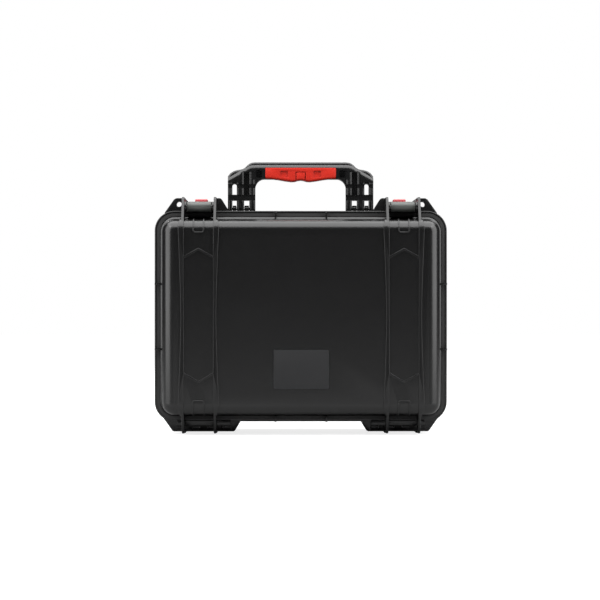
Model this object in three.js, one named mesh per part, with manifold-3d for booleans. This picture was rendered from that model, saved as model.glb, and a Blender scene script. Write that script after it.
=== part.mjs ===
// A hard carrying case for a camera drone, standing on its hinge side with the lid facing -Y.
// Millimetres, +Z up. The origin is under the middle of the case, on the surface that it stands on.
import * as THREE from "three";
import { mergeVertices } from "three/addons/utils/BufferGeometryUtils.js";
import Module from "manifold-3d";

const wasm = await Module();
wasm.setup();

// The rim where the two halves meet, and the walls that stand inside it.
const rim = { halfWidth: 170, bottom: 14.1, top: 259.1, radius: 23, thickness: 8 };
const wall = { halfWidth: 163.8, bottom: 21.2, top: 252, radius: 18, thickness: 3.5 };
const lidFace = -74;
const baseFace = 74;
const ribFace = 76;
const parting = -26;
const gap = 0.3;
const edgeRound = { lid: 12.5, base: 12 };

// A ledge on the lid, where its walls step in from the band beside the rim.
const ledge = { y: -41, inset: 4.6 };

// Ribs that guard the latches and the hinges, running round both halves.
const latchCentre = 117.5;
const ribOffset = 18.4;
const ribThickness = 3;
const ribTop = 274;
const lidRibBottom = 1.5;

// Hinge along the bottom edge.
const hinge = { y: parting, z: 8, radius: 5.2, pinRadius: 2, boreRadius: 2.3 };
const knuckle = { centre: 113, pitch: 9, count: 7 };

// Latch: a lever on the lid, with a catch and a release button at its free end.
const pivot = { y: -46, z: 263, radius: 6, pinRadius: 2.2, boreRadius: 2.5 };
const lever = { halfWidth: 14.25, top: 271.5, end: 52, endWall: 49 };
const catchPivot = { y: 35.5, z: 263.5, radius: 2.9, pinRadius: 1.2, boreRadius: 1.5 };
const pivotBoss = { radius: 6, inner: 14.6 };
const catchHalfWidth = 6;
const keeper = { front: 32, back: 36.5, bottom: 256.6, top: 260 };
const button = { halfWidth: 7.5, front: 20, back: 37, bottom: 269.9, top: 275, travel: 2.8 };

// Folding handle.
const handle = { y: 10, z: 263, halfDepth: 9, halfWidth: 85.7, innerHalf: 53.4, top: 318 };
const handleArch = { top: 298, radius: 11 };
const handleSlots = [
  { inner: 75.2, outer: 80.6 },
  { inner: 60.3, outer: 66.8 },
];
const crossbar = { bottom: 272.7, top: 279.4 };
const grip = {
  halfLength: 41.6,
  bottom: 294.7,
  top: 311.1,
  halfDepth: 9.2,
  coreHalf: 4.3,
  coreBottom: 297.7,
};
const handlePin = { radius: 1.6, boreRadius: 1.9 };

// Name plate in the lid's face.
const plate = { halfWidth: 31.7, halfHeight: 22.4, z: 76.3, recess: 1.4, thickness: 0.9, radius: 1.6 };

// The sealing ring lies in a groove in the lid's rim, and a tongue on the base presses on it.
// Each is a ring between two insets from the rim's outline.
const groove = { outer: 2.65, inner: 7.05, floor: -32 };
const tongue = { outer: 3.6, inner: 6.1, tip: -28.9 };
const seal = { outer: 2.95, inner: 6.75, front: -31.7, back: -29.2 };

// Foam in both halves, with a pocket for each thing that the case carries.
const foamGap = 1;
const foamFront = parting + 1;
const lidFoamBack = -30;
const pockets = [
  { name: "aircraft", x0: -146, x1: 54, z0: 142, z1: 236, depth: 72, radius: 14 },
  { name: "controller", x0: -146, x1: 24, z0: 38, z1: 126, depth: 58, radius: 12 },
  { name: "battery_low", x0: 72, x1: 146, z0: 38, z1: 92, depth: 62, radius: 6 },
  { name: "battery_middle", x0: 72, x1: 146, z0: 108, z1: 162, depth: 62, radius: 6 },
  { name: "battery_high", x0: 72, x1: 146, z0: 178, z1: 232, depth: 62, radius: 6 },
  { name: "cable", x0: 36, x1: 60, z0: 38, z1: 126, depth: 40, radius: 6 },
];

// Pressure valve in the top of the base.
const valve = {
  y: 26,
  holeRadius: 6.3,
  stemRadius: 6,
  flangeRadius: 10,
  ringInner: 6.6,
  ringOuter: 9.4,
  capRadius: 7.6,
};

// How finely round shapes are cut into flats.
const arcSteps = 4;
const bevelSteps = 3;
const roundSides = 16;

// What cuts go past a face by, so that they leave nothing behind.
const past = 1;

function toSolid(geometry) {
  geometry.deleteAttribute("normal");
  geometry.deleteAttribute("uv");
  const merged = mergeVertices(geometry, 1e-4);
  const mesh = new wasm.Mesh({
    numProp: 3,
    vertProperties: new Float32Array(merged.attributes.position.array),
    triVerts: new Uint32Array(merged.index.array),
  });
  return new wasm.Manifold(mesh);
}

function toGeometry(solid) {
  const mesh = solid.getMesh();
  const geometry = new THREE.BufferGeometry();
  geometry.setAttribute("position", new THREE.BufferAttribute(mesh.vertProperties, 3));
  geometry.setIndex(new THREE.BufferAttribute(mesh.triVerts, 1));
  const flat = geometry.toNonIndexed();
  flat.computeVertexNormals();
  return flat;
}

// A box from its lowest and highest corners.
function box(low, high) {
  const size = high.map((value, axis) => value - low[axis]);
  const geometry = new THREE.BoxGeometry(...size);
  geometry.translate(...low.map((value, axis) => value + size[axis] / 2));
  return toSolid(geometry);
}

// A cylinder along X, at a place in the side view.
function rod(x0, x1, y, z, radius, sides = roundSides) {
  const geometry = new THREE.CylinderGeometry(radius, radius, x1 - x0, sides);
  geometry.rotateZ(Math.PI / 2);
  geometry.translate((x0 + x1) / 2, y, z);
  return toSolid(geometry);
}

// A cylinder along Y, at a place in the front view.
function peg(y0, y1, x, z, radius, sides = roundSides) {
  const geometry = new THREE.CylinderGeometry(radius, radius, y1 - y0, sides);
  geometry.translate(x, (y0 + y1) / 2, z);
  return toSolid(geometry);
}

// A turned piece about a vertical axis, from [radius, z] points.
function turned(points, x, y) {
  const profile = points.map(([radius, z]) => new THREE.Vector2(radius, z));
  const geometry = new THREE.LatheGeometry(profile, roundSides);
  geometry.rotateX(Math.PI / 2);
  geometry.translate(x, y, 0);
  return toSolid(geometry);
}

function outline(points) {
  return new THREE.Shape(points.map(([a, b]) => new THREE.Vector2(a, b)));
}

// A front-view outline made thick between two depths.
function slab(shape, yFront, yBack) {
  const geometry = new THREE.ExtrudeGeometry(shape, {
    depth: yBack - yFront,
    bevelEnabled: false,
    curveSegments: arcSteps,
  });
  geometry.rotateX(Math.PI / 2);
  geometry.translate(0, yBack, 0);
  return toSolid(geometry);
}

// A side-view outline made thick between two places along X.
function rib(points, x0, x1) {
  const geometry = new THREE.ExtrudeGeometry(outline(points), { depth: x1 - x0, bevelEnabled: false });
  const alongY = new THREE.Vector3(0, 1, 0);
  const alongZ = new THREE.Vector3(0, 0, 1);
  const alongX = new THREE.Vector3(1, 0, 0);
  geometry.applyMatrix4(new THREE.Matrix4().makeBasis(alongY, alongZ, alongX));
  geometry.translate(x0, 0, 0);
  return toSolid(geometry);
}

function roundedRectangle(halfWidth, bottom, top, radius) {
  const shape = new THREE.Shape();
  shape.moveTo(-halfWidth + radius, bottom);
  shape.lineTo(halfWidth - radius, bottom);
  shape.absarc(halfWidth - radius, bottom + radius, radius, -Math.PI / 2, 0);
  shape.lineTo(halfWidth, top - radius);
  shape.absarc(halfWidth - radius, top - radius, radius, 0, Math.PI / 2);
  shape.lineTo(-halfWidth + radius, top);
  shape.absarc(-halfWidth + radius, top - radius, radius, Math.PI / 2, Math.PI);
  shape.lineTo(-halfWidth, bottom + radius);
  shape.absarc(-halfWidth + radius, bottom + radius, radius, Math.PI, 1.5 * Math.PI);
  return shape;
}

function insetOutline(from, inset) {
  const { halfWidth, bottom, top, radius } = from;
  return roundedRectangle(halfWidth - inset, bottom + inset, top - inset, radius - inset);
}

// The walls' outline as a solid with a rounded far edge, cut off square at its open end.
function tray(inset, openEnd, farEnd, edge) {
  const shape = insetOutline(wall, inset);
  const low = Math.min(openEnd, farEnd);
  const high = Math.max(openEnd, farEnd);
  const extra = 2 * edge;
  const depth = high - low + extra;
  const geometry = new THREE.ExtrudeGeometry(shape, {
    depth: depth - 2 * edge,
    bevelThickness: edge,
    bevelSize: edge,
    bevelOffset: -edge,
    bevelSegments: bevelSteps,
    curveSegments: arcSteps,
  });
  geometry.rotateX(Math.PI / 2);
  const back = farEnd > openEnd ? high : high + extra;
  geometry.translate(0, back - edge, 0);
  const keep = box([-rim.halfWidth, low, 0], [rim.halfWidth, high, ribTop]);
  return toSolid(geometry).intersect(keep);
}

function frameRing(outerInset, innerInset, yFront, yBack) {
  const outer = slab(insetOutline(rim, outerInset), yFront, yBack);
  const inner = slab(insetOutline(rim, innerInset), yFront - past, yBack + past);
  return outer.subtract(inner);
}

function mirrored(makePiece) {
  return makePiece(-1).add(makePiece(1));
}

function between(a, b) {
  return [Math.min(a, b), Math.max(a, b)];
}

// Finishes.
const blackPlastic = { color: 0x1d1e1f, roughness: 0.55, metalness: 0 };
const greyPlastic = { color: 0x35383a, roughness: 0.5, metalness: 0 };
const redPlastic = { color: 0xc22a1c, roughness: 0.45, metalness: 0 };
const redRubber = { color: 0xc4301f, roughness: 0.7, metalness: 0 };
const blackFoam = { color: 0x18191a, roughness: 0.95, metalness: 0 };
const rubber = { color: 0x101010, roughness: 0.85, metalness: 0 };
const steel = { color: 0xa8abae, roughness: 0.3, metalness: 1 };

const drone_case = new THREE.Group();

function addPart(name, solid, finish) {
  const mesh = new THREE.Mesh(toGeometry(solid), new THREE.MeshStandardMaterial(finish));
  mesh.name = name;
  drone_case.add(mesh);
}

// Where the rims of the two halves begin and end.
const lidRimBack = parting - gap / 2;
const baseRimFront = parting + gap / 2;
const lidRimFront = parting - rim.thickness;
const baseRimBack = parting + rim.thickness + 1;

// Where the ribs stand, from left to right.
const ribPlaces = [-1, 1].flatMap((side) => {
  const centre = side * latchCentre;
  return [centre - ribOffset, centre + ribOffset];
});

const lidRibOutline = [
  [lidRimBack, ribTop],
  [-54, ribTop],
  [-66, 253],
  [-ribFace, 239],
  [-ribFace, 34],
  [-66, 20],
  [-52, lidRibBottom],
  [-40, lidRibBottom],
  [lidRimFront, rim.bottom],
  [lidRimBack, rim.bottom],
];

const footFront = -19;
const baseRibOutline = [
  [baseRimFront, ribTop],
  [50, ribTop],
  [62, 258],
  [ribFace, 239],
  [ribFace, 34],
  [66, 18],
  [58, 0],
  [footFront, 0],
  [footFront, rim.bottom],
  [baseRimFront, rim.bottom],
].reverse();

function ribs(points) {
  return ribPlaces
    .map((x) => rib(points, x - ribThickness / 2, x + ribThickness / 2))
    .reduce((all, one) => all.add(one));
}

// The plates beside the latches: the outer one takes a padlock, the inner one is a plain gusset.
const eyeHole = { x: 141.8, z: 266.9, radius: 3.1 };
const earOutlines = [
  [[136.5, 250], [158.5, 250], [158.5, 257], [146, ribTop], [136.5, ribTop]],
  [[84.7, 250], [98.5, 250], [98.5, ribTop], [92.9, ribTop], [84.7, 260.8]],
];

function ears(side, yFront, yBack) {
  const plates = earOutlines
    .map((points) => slab(outline(points.map(([x, z]) => [side * x, z])), yFront, yBack))
    .reduce((all, one) => all.add(one));
  return plates.subtract(peg(yFront - past, yBack + past, side * eyeHole.x, eyeHole.z, eyeHole.radius));
}

// Small webs between the rim and the walls, at the middle of each side.
const web = { half: 1, reach: 10, depth: 3.6 };
const webPlaces = [
  { x: -29.5, z: 253.5 },
  { x: 29.5, z: 253.5 },
  { x: -29.5, z: 17.5 },
  { x: 29.5, z: 17.5 },
];
const sideWebPlaces = [
  { x: -166, z: 174 },
  { x: -166, z: 98.4 },
  { x: 166, z: 174 },
  { x: 166, z: 98.4 },
];

function webs(yRim, direction) {
  const [low, high] = between(yRim, yRim + direction * web.reach);
  const upright = webPlaces.map(({ x, z }) => {
    return box([x - web.half, low, z - web.depth], [x + web.half, high, z + web.depth]);
  });
  const lying = sideWebPlaces.map(({ x, z }) => {
    return box([x - web.depth, low, z - web.half], [x + web.depth, high, z + web.half]);
  });
  return [...upright, ...lying].reduce((all, one) => all.add(one));
}

// Hinge knuckles: odd ones belong to the lid and even ones to the base.
const knuckleGap = 0.5;

function knuckleRange(side, index) {
  const centre = side * knuckle.centre + (index - (knuckle.count - 1) / 2) * knuckle.pitch;
  const half = (knuckle.pitch - knuckleGap) / 2;
  return [centre - half, centre + half];
}

function knuckles(side, onLid) {
  let solid = null;
  for (let index = 0; index < knuckle.count; index += 1) {
    if ((index % 2 === 1) === onLid) {
      const [x0, x1] = knuckleRange(side, index);
      const barrel = rod(x0, x1, hinge.y, hinge.z, hinge.radius);
      const lidArm = [[-31.2, hinge.z], [-26.4, hinge.z], [-26.4, 15.5], [-33.5, 15.5]].reverse();
      const baseArm = [[-26, 2.8], [footFront + 1, 2.8], [footFront + 1, 13.2], [-26, 13.2]];
      const piece = barrel.add(rib(onLid ? lidArm : baseArm, x0, x1));
      solid = solid ? solid.add(piece) : piece;
    }
  }
  return solid;
}

function hingeBore(side) {
  const reach = (knuckle.count * knuckle.pitch) / 2 + past;
  const centre = side * knuckle.centre;
  return rod(centre - reach, centre + reach, hinge.y, hinge.z, hinge.boreRadius);
}

const lidInset = ledge.inset + wall.thickness;

// Bosses round the latch's pin, between the lever and the ribs beside it.
function pivotBosses(side) {
  const centre = side * latchCentre;
  const { radius, inner } = pivotBoss;
  const left = rod(centre - ribOffset, centre - inner, pivot.y, pivot.z, radius);
  const right = rod(centre + inner, centre + ribOffset, pivot.y, pivot.z, radius);
  return left.add(right);
}

function makeLidShell() {
  const rimSlab = slab(insetOutline(rim, 0), lidRimFront, lidRimBack);
  const ridges = mirrored((side) => ears(side, lidRimFront + 1, lidRimBack));
  const knucklesBoth = mirrored((side) => knuckles(side, true));
  const band = slab(insetOutline(wall, 0), ledge.y, lidRimBack);
  let shell = tray(ledge.inset, lidRimBack, lidFace, edgeRound.lid)
    .add(band)
    .add(rimSlab)
    .add(ribs(lidRibOutline))
    .add(ridges)
    .add(webs(lidRimFront, -1))
    .add(knucklesBoth)
    .add(mirrored(pivotBosses));
  const innerFace = lidFace + wall.thickness;
  shell = shell.subtract(tray(lidInset, parting + past, innerFace, edgeRound.lid - wall.thickness));
  shell = shell.subtract(frameRing(groove.outer, groove.inner, groove.floor, parting));
  const plateShape = roundedRectangle(
    plate.halfWidth + gap,
    plate.z - plate.halfHeight - gap,
    plate.z + plate.halfHeight + gap,
    plate.radius,
  );
  shell = shell.subtract(slab(plateShape, lidFace - past, lidFace + plate.recess));
  for (const side of [-1, 1]) {
    shell = shell.subtract(hingeBore(side));
    const reach = ribOffset + 4;
    const centre = side * latchCentre;
    shell = shell.subtract(rod(centre - reach, centre + reach, pivot.y, pivot.z, pivot.boreRadius));
  }
  return shell;
}

addPart("lid_shell", makeLidShell(), blackPlastic);
addPart("lid_seal", frameRing(seal.outer, seal.inner, seal.front, seal.back), rubber);

const plateBack = lidFace + plate.recess - gap;
const plateOutline = roundedRectangle(
  plate.halfWidth,
  plate.z - plate.halfHeight,
  plate.z + plate.halfHeight,
  plate.radius,
);
addPart("name_plate", slab(plateOutline, plateBack - plate.thickness, plateBack), greyPlastic);

const foamInset = wall.thickness + foamGap;
const lidFoam = tray(lidInset + foamGap, lidFoamBack, lidFace + foamInset, edgeRound.lid - foamInset);
addPart("lid_foam", lidFoam, blackFoam);

// Lugs that the handle's legs straddle.
const lug = { radius: 4, footHalf: 7, gap: 0.6 };
const lugOutline = [
  [handle.y - lug.footHalf, wall.top - past],
  [handle.y + lug.footHalf, wall.top - past],
  [handle.y + lug.radius, handle.z],
  [handle.y - lug.radius, handle.z],
];

function handleLugs(side) {
  return handleSlots
    .map((slot) => {
      const [x0, x1] = between(side * (slot.inner + lug.gap), side * (slot.outer - lug.gap));
      return rib(lugOutline, x0, x1).add(rod(x0, x1, handle.y, handle.z, lug.radius));
    })
    .reduce((all, one) => all.add(one));
}

// A foot plate under each hinge, and another near the back edge.
const footOutline = [[69.6, 15], [77.7, 2], [148.8, 2], [157, 14.1], [157, 22], [69.6, 22]];
const footPlates = [[footFront, -13], [44, 50]];

function feet(side) {
  const points = footOutline.map(([x, z]) => [side * x, z]);
  return footPlates
    .map(([front, back]) => slab(outline(points), front, back))
    .reduce((all, one) => all.add(one));
}

// The bar that a latch's catch hooks under.
function keeperBar(side) {
  const centre = side * latchCentre;
  const low = [centre - ribOffset, keeper.front, keeper.bottom];
  const high = [centre + ribOffset, keeper.back, keeper.top];
  return box(low, high);
}

function handleBore(side) {
  const [x0, x1] = between(side * (handle.innerHalf - past), side * (handle.halfWidth + past));
  return rod(x0, x1, handle.y, handle.z, handlePin.boreRadius);
}

function makeBaseShell() {
  const rimSlab = slab(insetOutline(rim, 0), baseRimFront, baseRimBack);
  let shell = tray(0, baseRimFront, baseFace, edgeRound.base)
    .add(rimSlab)
    .add(ribs(baseRibOutline))
    .add(mirrored((side) => ears(side, baseRimFront, baseRimBack - past)))
    .add(webs(baseRimBack, 1))
    .add(mirrored((side) => knuckles(side, false)))
    .add(mirrored(feet))
    .add(mirrored(handleLugs))
    .add(mirrored(keeperBar));
  const innerFace = baseFace - wall.thickness;
  shell = shell.subtract(tray(wall.thickness, parting - past, innerFace, edgeRound.base - wall.thickness));
  shell = shell.add(frameRing(tongue.outer, tongue.inner, tongue.tip, baseRimFront + past));
  for (const side of [-1, 1]) {
    shell = shell.subtract(hingeBore(side));
    shell = shell.subtract(handleBore(side));
  }
  const holeDepth = 4 * wall.thickness;
  const hole = new THREE.CylinderGeometry(valve.holeRadius, valve.holeRadius, holeDepth, roundSides);
  hole.rotateX(Math.PI / 2);
  hole.translate(0, valve.y, wall.top);
  return shell.subtract(toSolid(hole));
}

addPart("base_shell", makeBaseShell(), blackPlastic);

// The pockets are open towards the lid.
function makeBaseFoam() {
  let foam = tray(foamInset, foamFront, baseFace - foamInset, edgeRound.base - foamInset);
  for (const { x0, x1, z0, z1, depth, radius } of pockets) {
    const shape = roundedRectangle((x1 - x0) / 2, z0, z1, radius);
    const cut = slab(shape, foamFront - past, foamFront + depth);
    foam = foam.subtract(cut.translate([(x0 + x1) / 2, 0, 0]));
  }
  return foam;
}

addPart("base_foam", makeBaseFoam(), blackFoam);

const ringBottom = wall.top + gap;
const ringTop = ringBottom + 1.4;
const flangeBottom = ringTop + gap;
const flangeTop = flangeBottom + 3;
const flangeChamfer = 0.8;
const stemBottom = wall.top - 3;
const capBottom = flangeTop + gap;
const capTop = capBottom + 1.6;
const capChamfer = 0.7;
const valveBodyProfile = [
  [0, stemBottom],
  [valve.stemRadius, stemBottom],
  [valve.stemRadius, flangeBottom],
  [valve.flangeRadius, flangeBottom],
  [valve.flangeRadius, flangeTop - flangeChamfer],
  [valve.flangeRadius - flangeChamfer, flangeTop],
  [0, flangeTop],
];
const valveRingProfile = [
  [valve.ringInner, ringBottom],
  [valve.ringOuter, ringBottom],
  [valve.ringOuter, ringTop],
  [valve.ringInner, ringTop],
  [valve.ringInner, ringBottom],
];
const valveCapProfile = [
  [0, capBottom],
  [valve.capRadius, capBottom],
  [valve.capRadius, capTop - capChamfer],
  [valve.capRadius - capChamfer, capTop],
  [0, capTop],
];
addPart("valve_body", turned(valveBodyProfile, 0, valve.y), blackPlastic);
addPart("valve_ring", turned(valveRingProfile, 0, valve.y), rubber);
addPart("valve_cap", turned(valveCapProfile, 0, valve.y), greyPlastic);

// The handle's bar carries the grip round a flat core, and its legs turn on pins through the lugs.
const shoulder = [[85.7, 302], [80, 307], [70, 310.8], [57.5, 318]];
const seatBottom = 290;
const windowTop = 292.9;
const innerSlotTop = 306;
const slotBottom = 250;
const archBottom = 200;
const webHalfDepth = 2;

function handleLegs(side) {
  const [x0, x1] = between(side * handle.innerHalf, side * handle.halfWidth);
  return rod(x0, x1, handle.y, handle.z, handle.halfDepth);
}

function makeHandleFrame() {
  const front = handle.y - handle.halfDepth;
  const back = handle.y + handle.halfDepth;
  const body = outline([
    [-handle.halfWidth, handle.z],
    [handle.halfWidth, handle.z],
    ...shoulder,
    ...shoulder.map(([x, z]) => [-x, z]).reverse(),
  ]);
  const arch = roundedRectangle(handle.innerHalf, archBottom, handleArch.top, handleArch.radius);
  let frame = slab(body, front, back).subtract(slab(arch, front - past, back + past));
  frame = frame.add(mirrored(handleLegs));

  const cut = { end: grip.halfLength + gap, top: grip.top + gap };
  const coreFront = handle.y - grip.coreHalf;
  const coreBack = handle.y + grip.coreHalf;
  frame = frame
    .subtract(box([-cut.end, front - past, seatBottom], [cut.end, coreFront, cut.top]))
    .subtract(box([-cut.end, coreBack, seatBottom], [cut.end, back + past, cut.top]));
  const coreEnd = cut.end + past;
  frame = frame.add(box([-coreEnd, coreFront, grip.coreBottom], [coreEnd, coreBack, cut.top + past]));
  const underLow = [-cut.end, front - past, seatBottom];
  frame = frame.subtract(box(underLow, [cut.end, back + past, grip.coreBottom]));

  const [outerSlot, innerSlot] = handleSlots;
  for (const side of [-1, 1]) {
    for (const slot of handleSlots) {
      const [x0, x1] = between(side * slot.inner, side * slot.outer);
      frame = frame.subtract(box([x0, front - past, slotBottom], [x1, back + past, crossbar.bottom]));
    }
    const [w0, w1] = between(side * outerSlot.inner, side * outerSlot.outer);
    frame = frame.subtract(box([w0, front - past, crossbar.top], [w1, back + past, windowTop]));
    const [p0, p1] = between(side * innerSlot.inner, side * innerSlot.outer);
    frame = frame
      .subtract(box([p0, front - past, crossbar.top], [p1, handle.y - webHalfDepth, innerSlotTop]))
      .subtract(box([p0, handle.y + webHalfDepth, crossbar.top], [p1, back + past, innerSlotTop]));
    frame = frame.subtract(handleBore(side));
  }
  return frame;
}

function makeGrip() {
  const bump = { x: 29, depth: 2.2, radius: 13 };
  let body = box(
    [-grip.halfLength, handle.y - grip.halfDepth, grip.bottom],
    [grip.halfLength, handle.y + grip.halfDepth, grip.top],
  );
  const slotHalf = grip.coreHalf + gap;
  body = body.subtract(
    box(
      [-grip.halfLength - past, handle.y - slotHalf, grip.coreBottom - gap],
      [grip.halfLength + past, handle.y + slotHalf, grip.top + past],
    ),
  );
  for (const side of [-1, 1]) {
    const centre = grip.bottom - bump.radius + bump.depth;
    const front = handle.y - grip.halfDepth - past;
    const back = handle.y + grip.halfDepth + past;
    body = body.subtract(peg(front, back, side * bump.x, centre, bump.radius));
  }
  return body;
}

addPart("handle_frame", makeHandleFrame(), blackPlastic);
addPart("handle_grip", makeGrip(), redRubber);

// Latch lever, in side view: a round front end on the pivot, and a wall round the catch at its free end.
const leverOutline = [
  [pivot.y, pivot.z - pivot.radius],
  [pivot.y + 5.2, pivot.z - 2.2],
  [-15, 261],
  [-13, 257.5],
  [lever.endWall - 20, 257.5],
  [lever.endWall - 20, 261.2],
  [lever.endWall, 261.2],
  [lever.endWall, 256.5],
  [lever.end, 256.5],
  [lever.end, 269],
  [lever.end - 2.5, lever.top],
  [8, lever.top],
  [pivot.y, pivot.z + pivot.radius],
];
const buttonGap = 0.4;
const catchSlot = { front: 26.1, back: 48, bottom: 250, top: 267.5, halfWidth: catchHalfWidth + gap };
const springPocket = { front: 20.2, back: 25.4, halfWidth: 2.6, floor: 261.8 };
const pressedBottom = button.bottom - button.travel - gap;

function makeLever(centre) {
  const left = centre - lever.halfWidth;
  const right = centre + lever.halfWidth;
  let body = rib(leverOutline, left, right).add(rod(left, right, pivot.y, pivot.z, pivot.radius));
  const buttonHalf = button.halfWidth + buttonGap;
  const wellLow = [centre - buttonHalf, button.front - buttonGap, pressedBottom];
  const wellHigh = [centre + buttonHalf, button.back + buttonGap, lever.top + past];
  const slotLow = [centre - catchSlot.halfWidth, catchSlot.front, catchSlot.bottom];
  const slotHigh = [centre + catchSlot.halfWidth, catchSlot.back, catchSlot.top];
  const pocketLow = [centre - springPocket.halfWidth, springPocket.front, springPocket.floor];
  const pocketHigh = [centre + springPocket.halfWidth, springPocket.back, pressedBottom + past];
  body = body
    .subtract(box(wellLow, wellHigh))
    .subtract(box(slotLow, slotHigh))
    .subtract(box(pocketLow, pocketHigh));
  const { y, z, boreRadius } = catchPivot;
  body = body.subtract(rod(left - past, right + past, pivot.y, pivot.z, pivot.boreRadius));
  return body.subtract(rod(left - past, right + past, y, z, boreRadius));
}

// Catch, in side view: its toe hooks under the keeper bar and the button's stem presses its front arm.
const catchOutline = [
  [33.5, 252.8],
  [42, 252.8],
  [42, 262],
  [38.2, 264.6],
  [catchPivot.y, 264.8],
  [26.6, 264.8],
  [26.6, 262.2],
  [34, 262.2],
  [37.5, 261.6],
  [37.5, 256.1],
  [33.5, 256.1],
];

function makeCatch(centre) {
  const left = centre - catchHalfWidth;
  const right = centre + catchHalfWidth;
  const { y, z, radius, boreRadius } = catchPivot;
  const body = rib(catchOutline, left, right).add(rod(left, right, y, z, radius));
  return body.subtract(rod(left - past, right + past, y, z, boreRadius));
}

const stem = { halfWidth: 3.5, front: 26.3, back: 30, bottom: 265.1 };

function makeButton(centre) {
  const crown = 1.2;
  const profile = [
    [button.front, button.bottom],
    [button.back, button.bottom],
    [button.back, button.top - crown],
    [button.back - crown, button.top],
    [button.front + crown, button.top],
    [button.front, button.top - crown],
  ];
  const head = rib(profile, centre - button.halfWidth, centre + button.halfWidth);
  const foot = box(
    [centre - stem.halfWidth, stem.front, stem.bottom],
    [centre + stem.halfWidth, stem.back, button.bottom + past],
  );
  return head.add(foot);
}

// A coil spring under the button, of round wire.
function makeSpring(centre) {
  const wire = 0.35;
  const turns = 4;
  const stepsPerTurn = 12;
  const bottom = springPocket.floor + gap + wire;
  const top = button.bottom - gap - wire;
  const radius = 1.7;
  const middle = (springPocket.front + springPocket.back) / 2;
  class Helix extends THREE.Curve {
    getPoint(t) {
      const angle = 2 * Math.PI * turns * t;
      const height = bottom + (top - bottom) * t;
      return new THREE.Vector3(radius * Math.cos(angle), radius * Math.sin(angle), height);
    }
  }
  const section = new THREE.Shape();
  section.absarc(0, 0, wire, 0, 2 * Math.PI);
  const geometry = new THREE.ExtrudeGeometry(section, {
    extrudePath: new Helix(),
    steps: turns * stepsPerTurn,
    curveSegments: 3,
    bevelEnabled: false,
  });
  geometry.translate(centre, middle, 0);
  return toSolid(geometry);
}

// A pin along X that stops a little inside the holes it runs through.
const pinInset = 0.4;

function addPin(name, x0, x1, y, z, radius, flats) {
  const [low, high] = between(x0, x1);
  addPart(name, rod(low + pinInset, high - pinInset, y, z, radius, flats), steel);
}

const thinPinSides = 12;
const latchPinHalf = ribOffset + ribThickness / 2;
const hingeHalf = (knuckle.count * knuckle.pitch) / 2;
const sides = { left: -1, right: 1 };
for (const [name, side] of Object.entries(sides)) {
  const centre = side * latchCentre;
  addPart(`latch_lever_${name}`, makeLever(centre), greyPlastic);
  addPart(`latch_catch_${name}`, makeCatch(centre), greyPlastic);
  addPart(`release_button_${name}`, makeButton(centre), redPlastic);
  addPart(`button_spring_${name}`, makeSpring(centre), steel);
  const latchEnds = [centre - latchPinHalf, centre + latchPinHalf];
  addPin(`latch_pin_${name}`, ...latchEnds, pivot.y, pivot.z, pivot.pinRadius, roundSides);
  const catchEnds = [centre - lever.halfWidth, centre + lever.halfWidth];
  addPin(`catch_pin_${name}`, ...catchEnds, catchPivot.y, catchPivot.z, catchPivot.pinRadius, thinPinSides);
  const handleEnds = [side * handle.innerHalf, side * handle.halfWidth];
  addPin(`handle_pin_${name}`, ...handleEnds, handle.y, handle.z, handlePin.radius, roundSides);
  const hingeEnds = [side * knuckle.centre - hingeHalf, side * knuckle.centre + hingeHalf];
  addPin(`hinge_pin_${name}`, ...hingeEnds, hinge.y, hinge.z, hinge.pinRadius, roundSides);
}

export default drone_case;
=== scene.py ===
import math

import bmesh
import bpy
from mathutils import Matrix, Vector


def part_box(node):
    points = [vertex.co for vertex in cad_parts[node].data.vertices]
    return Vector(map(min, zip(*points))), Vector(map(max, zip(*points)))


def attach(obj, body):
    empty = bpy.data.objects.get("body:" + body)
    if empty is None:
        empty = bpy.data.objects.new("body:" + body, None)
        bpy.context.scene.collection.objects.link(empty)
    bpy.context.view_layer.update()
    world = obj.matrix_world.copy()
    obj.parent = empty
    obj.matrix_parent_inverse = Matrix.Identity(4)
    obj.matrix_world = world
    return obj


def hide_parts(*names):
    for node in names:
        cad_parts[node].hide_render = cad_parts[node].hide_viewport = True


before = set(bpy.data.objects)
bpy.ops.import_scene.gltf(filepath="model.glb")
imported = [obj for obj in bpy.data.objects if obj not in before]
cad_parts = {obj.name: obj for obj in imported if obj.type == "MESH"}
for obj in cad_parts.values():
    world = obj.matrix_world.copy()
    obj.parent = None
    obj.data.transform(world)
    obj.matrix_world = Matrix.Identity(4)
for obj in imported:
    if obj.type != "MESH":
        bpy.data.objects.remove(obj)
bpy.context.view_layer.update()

bpy.ops.object.select_all(action="DESELECT")
mm = 0.001
print("frame loaded")


def deselectAll():
    active = bpy.context.view_layer.objects.active
    if active and active.mode != "OBJECT":
        bpy.ops.object.mode_set(mode="OBJECT")
    bpy.ops.object.select_all(action="DESELECT")


def makeActive(piece):
    deselectAll()
    piece.select_set(True)
    bpy.context.view_layer.objects.active = piece


def settle(piece, name=None):
    # put the place and size into the mesh
    makeActive(piece)
    bpy.ops.object.transform_apply(location=True, rotation=True, scale=True)
    if name:
        piece.name = name
    return piece


def selectIn(piece, kind, test):
    # opens edit mode with the edges, faces or corners that pass the test selected
    makeActive(piece)
    bpy.ops.object.mode_set(mode="EDIT")
    bpy.ops.mesh.select_all(action="DESELECT")
    mode = {"edge": "EDGE", "face": "FACE", "vert": "VERT"}[kind]
    bpy.ops.mesh.select_mode(type=mode)
    mesh = bmesh.from_edit_mesh(piece.data)
    found = 0
    for item in {"edge": mesh.edges, "face": mesh.faces, "vert": mesh.verts}[kind]:
        if test(item):
            item.select_set(True)
            found += 1
    mesh.select_flush_mode()
    bmesh.update_edit_mesh(piece.data)
    return found


def leaveEdit():
    bpy.ops.object.mode_set(mode="OBJECT")


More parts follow.
